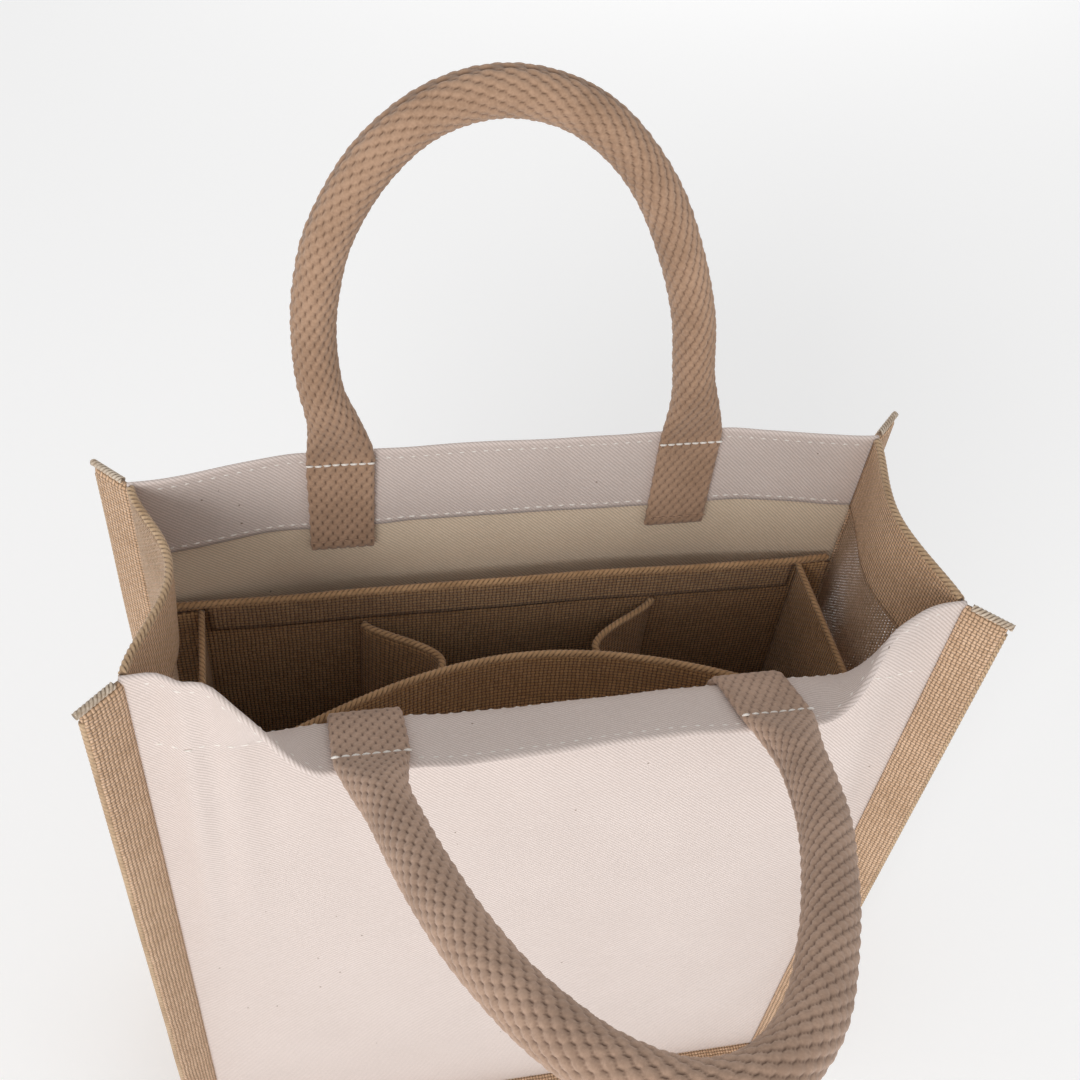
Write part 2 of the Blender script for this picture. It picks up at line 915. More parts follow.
# ------------------------------------------------------------------ the bag's form
@dataclass(frozen=True)
class BagForm:
    """Where the outer bag's cloth runs. Sizes in metres."""

    half_width: float
    half_depth: float
    height: float
    back_setback: float = 9.0 * MM
    back_belly: float = 9.5 * MM
    left_fold: float = 13.0 * MM
    right_fold: float = 8.0 * MM
    flap_lean: float = math.radians(65.5)
    flap_length: float = 39.0 * MM
    crest_radius: float = 12.0 * MM
    lean_fall: float = 2.2
    flat_half: float = 80.0 * MM
    canvas: float = 1.0 * MM
    jute: float = 1.2 * MM
    ply_gap: float = 0.12 * MM
    strap_spread: float = 132.0 * MM
    strap_middle: float = 3.74 * MM
    bend_reach: float = 5.0 * MM

    @classmethod
    def from_frame(cls) -> "BagForm":
        """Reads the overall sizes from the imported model.

        Returns:
            The bag's form.
        """
        base_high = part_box("bottom_panel")[1]
        seam_allowance = 12.0 * MM
        return cls(base_high.x, base_high.y - seam_allowance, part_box("front_left_binding")[1].z)

    def middle(self, x: float) -> float:
        """1 over the flat middle of a panel, easing to 0 at its corner seams."""
        return 1 - ease((abs(x) - self.flat_half) / (self.half_width - self.jute - self.flat_half))

    def near_strap(self, x: float) -> float:
        """1 beside a handle's end, easing to 0 away from it."""
        away = abs(abs(x) - self.strap_spread / 2)
        return 1 - ease((away - 14 * MM) / (16 * MM))

    def front(self, x: float, s: float) -> Vector:
        """Outer face of the front panel at x and at a cut length from the base.

        Args:
            x: Place across.
            s: Cut length from the base.

        Returns:
            The place in space.
        """
        lean = self.flap_lean * self.middle(x) ** self.lean_fall
        crest = self.height - self.flap_length
        past = max(s - crest, 0.0)
        turned = min(past / self.crest_radius, lean)
        straight = past - turned * self.crest_radius
        y = -self.half_depth - self.crest_radius * (1 - math.cos(turned)) - straight * math.sin(lean)
        z = min(s, crest) + self.crest_radius * math.sin(turned) + straight * math.cos(lean)
        return Vector((x, y - self.front_softness(x, s), z))

    def front_softness(self, x: float, s: float) -> float:
        """How far the front panel stands forward of its plain form.

        Args:
            x: Place across.
            s: Cut length from the base.

        Returns:
            The distance.
        """
        up = s / self.height
        foot = ease(s / (40 * MM))
        calm = 1 - self.near_strap(x) * ease((up - 0.78) / 0.1)
        belly = 3.4 * MM * math.sin(math.pi * min(up, 1.0)) * (1 - (x / self.half_width) ** 2)
        sway = 1.5 * MM * ripple(x, s, 75 * MM, 3.1) + 0.7 * MM * ripple(x, s, 28 * MM, 8.2)
        folds = 0.0
        for at, tall, wide in CREASES:
            lean = (up - 1.0) * 9 * MM * math.copysign(1.0, at)
            folds += tall * math.exp(-(((x - at + lean) / wide) ** 2)) * ease((up - 0.4) / 0.45)
        seam = ease((self.half_width - abs(x)) / (14 * MM))
        return (belly + sway + folds) * seam * foot * calm

    def back_edge(self, z: float) -> float:
        """Where the back corner seams stand at a height."""
        return self.half_depth - self.back_setback * z / self.height

    def back(self, u: float, z: float) -> Vector:
        """Outer face of the back panel, with u running from right to left.

        Args:
            u: Place across the cloth.
            z: Height above the floor.

        Returns:
            The place in space.
        """
        x = -u
        up = z / self.height
        y = self.back_edge(z) + self.back_belly * self.middle(x) * up**2
        seam = ease((self.half_width - abs(x)) / (26 * MM))
        calm = 1 - self.near_strap(x) * ease((up - 0.78) / 0.1)
        sway = 1.6 * MM * ripple(x, z, 70 * MM, 5.4) + 0.8 * MM * ripple(x, z, 30 * MM, 1.3)
        belly = 3.0 * MM * math.sin(math.pi * min(up, 1.0))
        return Vector((x, y + (belly + sway) * seam * ease(z / (40 * MM)) * calm, z))

    def gusset(self, side: int, fold: float) -> Place:
        """Outer face of a side wall, as a place function of width and height.

        Args:
            side: -1 for the left, 1 for the right.
            fold: How far it creases inwards at the top.

        Returns:
            The place function.
        """

        def place(u: float, z: float) -> Vector:
            """Outer face of the side wall.

            Args:
                u: Place across the cloth.
                z: Height above the floor.

            Returns:
                The place in space.
            """
            share = u / (2 * self.half_depth) * side + 0.5
            inset = self.jute * 1.05
            front = -self.half_depth + inset
            back = self.back_edge(z) - inset
            up = z / self.height
            inside = max(math.sin(math.pi * min(max(share, 0.0), 1.0)), 0.0)
            crease = fold * up * inside**1.6
            sway = 0.9 * MM * ripple(u, z, 38 * MM, 2.0 + side) * inside
            return Vector((side * (self.half_width - crease + sway), mix(front, back, share), z))

        return place

    def bend_line(self, front: bool) -> tuple[Vector, Vector]:
        """The middle of the line that a handle bends about, and the way the edge points there.

        Args:
            front: Whether it is the front handle.

        Returns:
            The middle of the line, and the way the edge points.
        """
        place = self.front if front else self.back
        at = self.strap_spread / 2
        line = lifted(place, at, self.height + self.bend_reach, self.strap_middle)
        edge = lifted(place, at, self.height, self.strap_middle)
        up = (line - edge).normalized()
        line.x = 0.0
        return line, Vector((0.0, up.y, up.z)).normalized()


# ------------------------------------------------------------------ panels, gussets and base
@dataclass
class CanvasPanels:
    """The front and back canvas panels, each with its hem folded inside the mouth."""

    form: BagForm
    palette: Palette
    hem: float = 36.0 * MM
    cell: float = 2.6 * MM
    stitch: float = 3.4 * MM
    stitch_gap: float = 1.1 * MM
    thread_radius: float = 0.36 * MM

    def rows(self) -> list[float]:
        """Cut lengths up the panel, over the fold and down the hem.

        Returns:
            The cut lengths.
        """
        form = self.form
        foot = 2.0 * MM
        plain = spread(foot, form.height - 62 * MM, 90)
        crest = spread(form.height - 60 * MM, form.height - 1 * MM, 34)
        turn = math.pi * (form.canvas + form.ply_gap / 2)
        fold = spread(form.height, form.height + turn, 8)
        hem = spread(form.height + turn + 1 * MM, form.height + turn + self.hem, 20)
        return plain + crest + fold + hem

    def build(self, front: bool) -> list[bpy.types.Object]:
        """Makes one panel and the stitching of its hem.

        Args:
            front: Whether it is the front panel.

        Returns:
            The panel and its stitches.
        """
        form = self.form
        name = "front" if front else "back"
        place = hemmed(form.front if front else form.back, form.height, form.canvas, form.ply_gap)
        half = form.half_width - 0.3 * MM
        columns = spread(-half, half, int(2 * half / self.cell))
        faces = [self.palette.canvas, self.palette.canvas_back]
        cloth = finish_object(sheet_mesh(columns, self.rows(), place), f"{name}_panel_cloth", faces)
        thicken(cloth, form.canvas, inner=1)
        settle(cloth, "canvas", "root", f"{name}_panel", f"{name}_hem_facing")
        stitches = self.hem_stitches(front)
        settle(stitches, "thread", "root", f"{name}_hem_thread")
        return [cloth, stitches]

    def hem_stitches(self, front: bool) -> bpy.types.Object:
        """The hem's two stitch rows, seen on both faces of the panel.

        Args:
            front: Whether it is the front panel.

        Returns:
            The stitches.
        """
        form = self.form
        place = form.front if front else form.back
        spots = []
        half = form.half_width - 6 * MM
        pitch = self.stitch + self.stitch_gap
        both = ((0.0, 1.0), (2 * form.canvas + form.ply_gap, -1.0))
        rows = ((form.height - self.hem + 2.5 * MM, 0.05 * MM), (form.height - 2.4 * MM, -0.16 * MM))
        for at, proud in rows:
            for index in range(int(2 * half / pitch)):
                u = -half + (index + 0.5) * pitch
                row = at + 0.5 * MM * ripple(u, 0.0, 60 * MM, 4.0)
                for lift, way in both:
                    if way < 0 and abs(abs(u) - form.strap_spread / 2) < 13 * MM:
                        continue
                    spots.append(stitch_spot(place, u, row, lift - way * proud, -way))
        name = "front_hem_stitches" if front else "back_hem_stitches"
        return stitch_row(name, spots, self.stitch, self.thread_radius, self.palette.thread)


@dataclass
class JuteSides:
    """The two jute gussets with their hems, and the jute base."""

    form: BagForm
    palette: Palette
    hem: float = 37.0 * MM
    hem_inset: float = 1.6 * MM  # of the hem's ends from the corner seams
    cell: float = 2.4 * MM
    open_thickness: float = 0.45 * MM  # of the single layer, whose gaps show light

    def build_gusset(self, side: int) -> list[bpy.types.Object]:
        """Makes one side wall with its hem and overlocked edge.

        Args:
            side: -1 for the left, 1 for the right.

        Returns:
            The pieces made.
        """
        form = self.form
        name = "left" if side < 0 else "right"
        fold = form.left_fold if side < 0 else form.right_fold
        place = form.gusset(side, fold)
        half = form.half_depth
        columns = spread(-half, half, int(2 * half / self.cell))
        wall_rows = spread(1.4 * MM, form.height, 120)
        mesh = sheet_mesh(columns, wall_rows, place)
        wall = finish_object(mesh, f"{name}_gusset_cloth", [self.palette.gusset])
        thicken(wall, self.open_thickness)
        settle(wall, "jute", "root", f"{name}_gusset")
        hem_half = half - self.hem_inset
        inner = spread(-hem_half, hem_half, int(2 * half / self.cell))
        hem_rows = spread(form.height - self.hem, form.height, 18)
        layer = form.jute + form.ply_gap
        hem = finish_object(
            sheet_mesh(inner, hem_rows, lambda u, v: lifted(place, u, v, layer)),
            f"{name}_gusset_hem_cloth",
            [self.palette.gusset_hem],
        )
        thicken(hem, form.jute)
        settle(hem, "jute_hem", "root", f"{name}_gusset_hem")
        along = spread(-half + 2 * MM, half - 2 * MM, 25)
        points = [lifted(place, u, form.height + 0.1 * MM, layer) for u in along]
        route = Route(points, [UP] * len(points))
        edge = twisted_cord(f"{name}_gusset_edging", route, 1.5 * MM, 6.6 * MM, self.palette.edging)
        settle(edge, "jute_hem", "root")
        return [wall, hem, edge]

    def build_base(self) -> bpy.types.Object:
        """Makes the base cloth.

        Returns:
            The base cloth.
        """
        form = self.form
        columns = spread(-form.half_width, form.half_width, 90)
        rows = spread(-form.half_depth + form.canvas, form.half_depth - form.canvas, 34)
        mesh = sheet_mesh(columns, rows, lambda u, v: Vector((u, v, form.jute)))
        base = finish_object(mesh, "base_cloth", [self.palette.base])
        thicken(base, form.jute)
        settle(base, "jute", "root", "bottom_panel")
        return base


@dataclass
class SeamBindings:
    """The folded jute tapes that stand out along the corner and bottom seams."""

    form: BagForm
    palette: Palette
    width: float = 16.6 * MM
    half_thick: float = 1.85 * MM
    root: float = -1.5 * MM
    edging_radius: float = 1.15 * MM
    cord_sides: int = 10

    def sway(self, reach: float, seed: float) -> float:
        """How far the tape strays to one side at a distance along it."""
        return 0.5 * MM * ripple(reach, 0.0, 45 * MM, seed)

    def section(self, seed: float, length: float) -> Callable[[float, float], tuple[float, float, float]]:
        """Outline of the folded tape, which narrows at its ends.

        Args:
            seed: Picks its unevenness.
            length: Length of the seam.

        Returns:
            The outline, from a turn and a distance.
        """

        def outline(turn: float, reach: float) -> tuple[float, float, float]:
            """Outline of the folded tape.

            Args:
                turn: Share of the way round.
                reach: Distance along it.

            Returns:
                How far across and out, and the height of the relief.
            """
            angle = turn * math.tau
            cosine, sine = math.cos(angle), math.sin(angle)
            wide = math.copysign(abs(cosine) ** 0.5, cosine) * self.width / 2
            deep = math.copysign(abs(sine) ** 0.7, sine) * self.half_thick
            end = min(reach, length - reach)
            round_off = ease(0.35 + end / (3 * MM))
            aside = self.sway(reach, seed) * (0.5 + cosine / 2)
            return self.width / 2 + wide + self.root, deep * round_off + aside, 1.0

        return outline

    def build(
        self, name: str, start: Vector, stop: Vector, out: Vector, seed: float
    ) -> list[bpy.types.Object]:
        """Makes one bound seam.

        Args:
            name: Name of the CAD node it stands for.
            start: Lower or left end of the seam line.
            stop: Its other end.
            out: The way the seam stands out.
            seed: Picks its unevenness.

        Returns:
            The tape and its overlocked edge.
        """
        direction = (stop - start).normalized()
        facing = out.cross(direction).normalized()
        if direction.cross(facing).dot(out) < 0:
            facing = -facing
        points = [start.lerp(stop, share) for share in spread(0.0, 1.0, 9)]
        route = Route(points, [facing] * len(points))
        length = (stop - start).length
        places = route.sampled(2.4 * MM)
        mesh = tube_mesh(places, self.section(seed, length), 36)
        tape = finish_object(mesh, f"{name}_tape", [self.palette.binding])
        settle(tape, "binding", "root", name)
        rim = out * (self.width + self.root - 0.3 * MM)
        edge_points = []
        for share in spread(0.012, 0.988, 17):
            edge_points.append(start.lerp(stop, share) + rim + facing * self.sway(share * length, seed))
        route = Route(edge_points, [facing] * len(edge_points))
        edge = twisted_cord(
            f"{name}_edging", route, self.edging_radius, 7.0 * MM, self.palette.edging, self.cord_sides
        )
        settle(edge, "binding", "root")
        ends = []
        for label, at, shift in (("low", 0.0, 1.2 * MM), ("high", 1.0, 0.2 * MM)):
            if label == "low" and "bottom" not in name:
                continue
            tip = start.lerp(stop, at) - direction * (1 - 2 * at) * shift
            line = [tip + out * mix(1.6 * MM, self.width, share) for share in spread(0.0, 1.0, 5)]
            route = Route(line, [facing] * len(line))
            end = twisted_cord(
                f"{name}_{label}_end", route, 1.4 * MM, 4.6 * MM, self.palette.raw_end, self.cord_sides
            )
            ends.append(settle(end, "binding", "root"))
        return [tape, edge, *ends]

    def build_all(self) -> list[bpy.types.Object]:
        """Makes the four corner seams and the two bottom seams.

        Returns:
            The pieces made.
        """
        form = self.form
        made: list[bpy.types.Object] = []
        root = math.sqrt(0.5)
        for face, face_side in (("front", -1), ("back", 1)):
            for side_name, side in (("left", -1), ("right", 1)):
                top_y = -form.half_depth if face_side < 0 else form.back_edge(form.height)
                start = Vector((side * form.half_width, face_side * form.half_depth, 0.9 * MM))
                stop = Vector((side * form.half_width, top_y, form.height))
                out = Vector((side * root, face_side * root, 0.0))
                made += self.build(f"{face}_{side_name}_binding", start, stop, out, 3.0 * side + face_side)
            y = face_side * form.half_depth
            z = self.half_thick + 0.35 * MM
            half = form.half_width - 1.5 * MM
            ends = Vector((-half, y, z)), Vector((half, y, z))
            out = Vector((0, face_side, 0))
            made += self.build(f"bottom_{face}_binding", *ends, out, 9.0 + face_side)
        return made


# ------------------------------------------------------------------ handles
def flattened(turn: float, half: float, thick: float) -> tuple[float, float, Vector]:
    """A place on a flat outline with round edges, at even steps of its own length.

    Args:
        turn: Share of the way round, from the middle of the right edge.
        half: Half its width.
        thick: Half its thickness, which is also the radius of its edges.

    Returns:
        How far across and out the place is, and the way it faces.
    """
    flat = half - thick
    arc = math.pi * thick / 2
    reach = (turn % 1.0) * (4 * arc + 4 * flat)
    if reach < arc:
        angle, middle = reach / thick, flat
    elif reach < arc + 2 * flat:
        angle, middle = math.pi / 2, flat - (reach - arc)
    elif reach < 3 * arc + 2 * flat:
        angle, middle = (reach - 2 * flat) / thick, -flat
    elif reach < 3 * arc + 4 * flat:
        angle, middle = math.pi * 1.5, -flat + (reach - 3 * arc - 2 * flat)
    else:
        angle, middle = (reach - 4 * flat) / thick, flat
    out = Vector((math.cos(angle), math.sin(angle)))
    return middle + thick * out.x, thick * out.y, out


@dataclass(frozen=True)
class KnotWeave:
    """The webbing's knotted surface: staggered rows of long oval knots."""

    round_count: int = 14
    row: float = 2.9 * MM
    height: float = 1.15 * MM
    per_row: int = 4
    per_knot: int = 6
    half_length: float = 2.35 * MM
    half_width: float = 0.5  # as a share of the knots' spacing round the handle
    slant: float = 0.16

    def relief(self, turn: float, reach: float) -> float:
        """Height of the surface from 0 between knots to 1 on a knot.

        Args:
            turn: Share of the way round.
            reach: Distance along it.

        Returns:
            The height.
        """
        best = 0.0
        nearest = round(reach / self.row)
        for number in (nearest - 1, nearest, nearest + 1):
            along = (reach - number * self.row) / self.half_length
            column = turn * self.round_count + 0.5 * (number % 2) + self.slant * along
            across = (column - math.floor(column) - 0.5) / self.half_width
            best = max(best, 1 - across * across - along * along)
        return math.sqrt(best)


@dataclass
class Handle:
    """A padded handle: webbing round a rope, flattened and sewn inside the hem at both ends."""

    form: BagForm
    palette: Palette
    front: bool
    route: Sequence[tuple[float, float]]
    rise: float
    knots: KnotWeave = field(default_factory=KnotWeave)
    radius: float = 7.4 * MM
    flat_half_width: float = 12.0 * MM
    flat_half_thick: float = 1.45 * MM
    sewn: float = 45.0 * MM
    widen_start: float = -5.0 * MM
    widen_stop: float = 27.0 * MM
    widen_power: float = 0.75
    core_radius: float = 5.2 * MM
    core_lay: float = 34.0 * MM
    core_start: float = 0.2  # share of the rise above which the rope runs
    tack_count: int = 8
    tack_pitch: float = 3.15 * MM
    tack_length: float = 3.4 * MM

    @property
    def name(self) -> str:
        """Name of the handle's body."""
        return "front_handle" if self.front else "back_handle"

    @property
    def place(self) -> Place:
        """The panel that the handle is sewn to."""
        return self.form.front if self.front else self.form.back

    def loop(self, shares: Sequence[tuple[float, float]]) -> list[Vector]:
        """Places on the loop, from shares of its half spread and of its rise.

        Args:
            shares: How far across and up each place is.

        Returns:
            The places.
        """
        centre, up = self.form.bend_line(self.front)
        half = self.form.strap_spread / 2
        return [centre + ACROSS * (a * half) + up * (b * self.rise) for a, b in shares]

    def line(self) -> tuple[list[Vector], list[Vector]]:
        """The handle's middle line and the way its flat face looks, from end to end.

        Returns:
            The places, and the facing at each.
        """
        form = self.form
        up = form.bend_line(self.front)[1]
        facing = ACROSS.cross(up).normalized() * -1
        ends: dict[int, tuple[list[Vector], list[Vector]]] = {}
        for side in (-1, 1):
            x = side * form.strap_spread / 2
            u = x if self.front else -x
            points, facings = [], []
            for s in spread(form.height - self.sewn, form.height + 1.5 * MM, 7):
                point = lifted(self.place, u, s, form.strap_middle)
                inward = lifted(self.place, u, s, form.strap_middle + 1 * MM) - point
                points.append(point)
                facings.append(inward.normalized())
            ends[side] = (points, facings)
        inward = ends[-1][1][-1]
        if facing.dot(inward) < 0:
            facing = -facing
        loop = self.loop(self.route)
        points = ends[-1][0] + loop + ends[1][0][::-1]
        facings = ends[-1][1] + [facing] * len(loop) + ends[1][1][::-1]
        return points, facings

    def build(self) -> list[bpy.types.Object]:
        """Makes the webbing, its rope and its stitches.

        Returns:
            The pieces made.
        """
        points, facings = self.line()
        route = Route(points, facings)
        places = route.sampled(self.knots.row / self.knots.per_row)
        length = places[-1][3]
        bend = self.sewn + self.form.bend_reach
        seed = 6.0 if self.front else 2.0

        def section(turn: float, reach: float) -> tuple[float, float, float]:
            """Outline of the webbing.

            Args:
                turn: Share of the way round.
                reach: Distance along it.

            Returns:
                How far across and out, and the height of the relief.
            """
            end = min(reach, length - reach)
            widen = (end - bend - self.widen_start) / (self.widen_stop - self.widen_start)
            full = ease(widen) ** self.widen_power
            loose = 1 + 0.03 * ripple(reach, 0.004 * math.cos(turn * math.tau), 24 * MM, seed)
            half = mix(self.flat_half_width, self.radius, full) * loose
            pinch = mix(0.6, 1.0, ease(end / (2.5 * MM)))
            thick = mix(self.flat_half_thick, self.radius, full) * loose * pinch
            wide, deep, out = flattened(turn, max(half, thick), thick)
            knot = self.knots.relief(turn, reach)
            seam = math.exp(-((((turn - 0.5) * math.tau * self.radius) / (1.1 * MM)) ** 2)) * full
            swell = self.knots.height * mix(0.6, 1.0, full) * (knot - 0.6) - 0.7 * MM * seam
            return wide + out.x * swell, deep + out.y * swell, knot * (1 - 0.6 * seam)

        sides = self.knots.round_count * self.knots.per_knot
        finish = self.palette.webbing_shaded if self.front else self.palette.webbing
        webbing = finish_object(tube_mesh(places, section, sides), f"{self.name}_padded_webbing", [finish])
        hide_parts(*(f"{self.name}_{part}" for part in ("webbing", "left_end", "right_end")))
        centre, up = self.form.bend_line(self.front)
        self.name
        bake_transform(webbing)
        return [webbing, *self.tacks(), self.core()]

    def core(self) -> bpy.types.Object:
        """The rope inside the grip.

        Returns:
            The rope.
        """
        points = self.loop([pair for pair in self.route if pair[1] > self.core_start])
        facing = ACROSS.cross(self.form.bend_line(self.front)[1]).normalized()
        route = Route(points, [facing] * len(points))
        rope = twisted_cord(
            f"{self.name}_rope", route, self.core_radius, self.core_lay, self.palette.rope, sides=24
        )
        return settle(rope, "rope_core", self.name, f"{self.name}_core")

    def tacks(self) -> list[bpy.types.Object]:
        """The two stitch rows that hold both ends of the handle: white at the edge, brown below.

        Returns:
            The two rows.
        """
        form = self.form
        rows = (
            ("edge", form.height - 1.6 * MM, self.palette.thread, 0.5 * MM),
            ("lower", form.height - self.sewn + 5 * MM, self.palette.webbing, 0.3 * MM),
        )
        made = []
        lift = form.strap_middle + self.flat_half_thick + 0.42 * MM
        for label, at, material, radius in rows:
            spots = []
            for side in (-1, 1):
                middle = side * form.strap_spread / 2 * (1 if self.front else -1)
                for index in range(self.tack_count):
                    u = middle + (index + 0.5 - self.tack_count / 2) * self.tack_pitch
                    row = at + 0.7 * MM * ripple(u, at, 9 * MM, 2.0)
                    spots.append(stitch_spot(self.place, u, row, lift))
            piece = stitch_row(f"{self.name}_{label}_stitches", spots, self.tack_length, radius, material)
            made.append(settle(piece, "thread" if label == "edge" else "webbing", "root"))
        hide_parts(f"{self.name.replace('_handle', '')}_tack_threads")
        return made


# ------------------------------------------------------------------ insert
@dataclass(frozen=True)
class InsertForm:
    """Where the insert's cloth runs. Sizes in metres."""

    half: float
    side: float
    front: float
    back: float
    foot: float
    top: float
    front_top: float
    divider_top: float
    jute: float = 1.2 * MM
    hem: float = 14.0 * MM
    bow: float = 39.0 * MM
    bow_start: float = 130.0 * MM
    divider_half: float = 60.0 * MM
    slack: float = 0.8 * MM
    ply_gap: float = 0.12 * MM
    bow_slack: float = 0.15 * MM
    flange: float = 14.0 * MM

    @classmethod
    def from_frame(cls) -> "InsertForm":
        """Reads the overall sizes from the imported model.

        Returns:
            The insert's form.
        """
        low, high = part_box("insert_back_wall")
        front_low, front_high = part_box("insert_front_wall")
        divider_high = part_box("insert_left_divider")[1]
        side = high.x - cls.flange
        return cls(high.x, side, front_low.y, high.y, low.z, high.z, front_high.z, divider_high.z)

    def bowed(self, x: float, z: float) -> float:
        """Y of the outer face of the front wall.

        Args:
            x: Place across.
            z: Height above the floor.

        Returns:
            The place along Y.
        """
        share = min(abs(x) / self.side, 1.0)
        rise = ease((z - self.bow_start) / (self.top - self.bow_start))
        return self.front + self.bow * rise * (1 - share * share) ** 1.3

    def front_wall(self, x: float, z: float) -> Vector:
        """Outer face of the front wall."""
        loose = 0.5 * MM * ripple(x, z, 40 * MM, 7.0) * ease((self.side - abs(x)) / (20 * MM))
        return Vector((x, self.bowed(x, z) + loose * ease((z - self.bow_start) / (30 * MM)), z))

    def back_wall(self, u: float, z: float) -> Vector:
        """Outer face of the back wall, with u running from right to left.

        Args:
            u: Place across the cloth.
            z: Height above the floor.

        Returns:
            The place in space.
        """
        x = -u
        edge = ease((self.half - abs(x)) / (20 * MM))
        sway = 0.9 * MM * ripple(x, z, 60 * MM, 4.4) * edge * ease(z / (60 * MM))
        sunk = 1.6 * MM * ease((x - 20 * MM) / (90 * MM)) * ease((z - 150 * MM) / (150 * MM))
        y = self.back - 1.0 * MM * edge * abs(ripple(x, z, 50 * MM, 2.2)) - abs(sway) * 0.4
        return Vector((x, y, z - sunk))

    def divider(self, side: int) -> Place:
        """One face of a divider, as a place function of depth and height.

        Args:
            side: -1 for the left, 1 for the right.

        Returns:
            The place function.
        """
        seam = side * self.divider_half
        full = self.back - self.front

        def place(u: float, z: float) -> Vector:
            """One face of the divider.

            Args:
                u: Place across the cloth.
                z: Height above the floor.

            Returns:
                The place in space.
            """
            share = min(max(u / full + 0.5, 0.0), 1.0)
            front = self.bowed(seam, z) + self.jute + self.slack
            back = self.back - self.jute - self.slack
            gap = self.back - self.bowed(seam, z)
            buckle = math.sqrt(max(full * full - gap * gap, 0.0)) / 2
            sharp = abs(math.sin(math.pi * share)) ** 1.5
            return Vector((seam - side * buckle * sharp, mix(front, back, share), z))

        return place


@dataclass
class JuteInsert:
    """The loose jute insert: four walls and two buckled dividers."""

    form: InsertForm
    palette: Palette
    cell: float = 2.6 * MM
    edging_lay: float = 6.4 * MM
    made: list[bpy.types.Object] = field(default_factory=list)

    def wall(
        self,
        name: str,
        node: str,
        columns: list[float],
        rows: list[float],
        place: Place,
        size: tuple[float, float],
    ) -> None:
        """Makes one wall of cloth.

        Args:
            name: Name of the piece, without what every wall's has.
            node: The CAD node it stands for, likewise.
            columns: Places across it.
            rows: Places up it.
            place: Its outer face.
            size: Its flat size.
        """
        mesh = sheet_mesh(columns, rows, place)
        piece = finish_object(mesh, f"insert_{name}_cloth", [self.palette.insert])
        thicken(piece, self.form.jute)
        self.made.append(settle(piece, "insert_jute", "insert", f"insert_{node}"))

    def edging(self, name: str, points: list[Vector], radius: float = 1.6 * MM) -> None:
        """Adds an overlocked edge along a line.

        Args:
            name: Name of the piece.
            points: The line it follows.
            radius: Its radius.
        """
        route = Route(points, [UP] * len(points))
        cord = twisted_cord(name, route, radius, self.edging_lay, self.palette.insert_edging)
        self.made.append(settle(cord, "insert_hem", "insert"))

    def build(self) -> list[bpy.types.Object]:
        """Makes every piece of the insert.

        Returns:
            The pieces made.
        """
        form = self.form
        across = spread(-form.half, form.half, int(2 * form.half / self.cell))
        tall = form.top - form.foot
        walls = (("back", form.back_wall, form.top), ("front", form.front_wall, form.front_top))
        for name, place, top in walls:
            rows = spread(form.foot, top, 90)
            self.wall(name, f"{name}_wall", across, rows, place, (2 * form.half, tall))
        for name, place, top in walls:
            self.hem_band(name, place, top)
        self.side_walls()
        self.dividers()
        return self.made

    def hem_band(self, name: str, place: Place, top: float) -> None:
        """Adds the second layer at a wall's top and its overlocked edge.

        Args:
            name: Which wall, back or front.
            place: The wall's outer face.
            top: Height of its top edge.
        """
        form = self.form
        half = form.side - 2.4 * MM
        columns = spread(-half, half, 90)
        lift = form.jute + form.ply_gap
        band = finish_object(
            sheet_mesh(columns, spread(top - form.hem, top, 8), lambda u, v: lifted(place, u, v, lift)),
            f"insert_{name}_hem_cloth",
            [self.palette.insert_hem],
        )
        thicken(band, form.jute)
        self.made.append(settle(band, "insert_hem", "insert", f"insert_{name}_hem"))
        along = spread(-form.half + 1 * MM, form.half - 1 * MM, 41)
        points = [lifted(place, u, top + 0.2 * MM, form.jute) for u in along]
        self.edging(f"insert_{name}_edging", points)

    def side_walls(self) -> None:
        """Makes the two side walls, each with its seam flanges turned outwards."""
        form = self.form
        for name, side in (("left", -1), ("right", 1)):
            flange = form.half - form.side
            front = form.bowed(form.side - form.jute, form.top) + form.jute + form.bow_slack
            back = form.back - form.jute - form.ply_gap
            deep = back - front

            def place(
                u: float, z: float, side: int = side, front: float = front, deep: float = deep
            ) -> Vector:
                """Outer face of the side wall and its flanges.

                Args:
                    u: Place across the cloth.
                    z: Height above the floor.
                    side: -1 for the left, 1 for the right.
                    front: Y of its front corner.
                    deep: Depth between its corners.

                Returns:
                    The place in space.
                """
                start = -flange - deep / 2
                past = (u if side < 0 else -u) - start
                near = min(past, flange)
                run = min(max(past - flange, 0.0), deep)
                far = max(past - flange - deep, 0.0)
                x = form.half - near + far
                return Vector((side * x, front + run, z))

            reach = flange + deep / 2
            columns = spread(-reach, -deep / 2 - 0.2 * MM, 6) + spread(-deep / 2, deep / 2, 24)
            columns += spread(deep / 2 + 0.2 * MM, reach, 6)
            rows = spread(form.foot, form.front_top, 70)
            size = (2 * reach, form.front_top - form.foot)
            self.wall(f"{name}_side", f"{name}_wall", columns, rows, place, size)
            along = spread(-deep / 2 + 1 * MM, deep / 2 - 1 * MM, 9)
            edge = [place(u, form.front_top + 0.2 * MM) for u in along]
            self.edging(f"insert_{name}_side_edging", edge, 1.3 * MM)

    def dividers(self) -> None:
        """Makes the two dividers between the compartments."""
        form = self.form
        full = form.back - form.front
        for name, side in (("left", -1), ("right", 1)):
            place = form.divider(side)
            columns = spread(-full / 2, full / 2, 34)
            rows = spread(form.foot, form.divider_top, 80)
            size = (full, form.divider_top - form.foot)
            self.wall(f"{name}_divider", f"{name}_divider", columns, rows, place, size)
            along = spread(-full / 2 + 1 * MM, full / 2 - 1 * MM, 23)
            edge = [place(u, form.divider_top + 0.2 * MM) for u in along]
            self.edging(f"insert_{name}_divider_edging", edge)


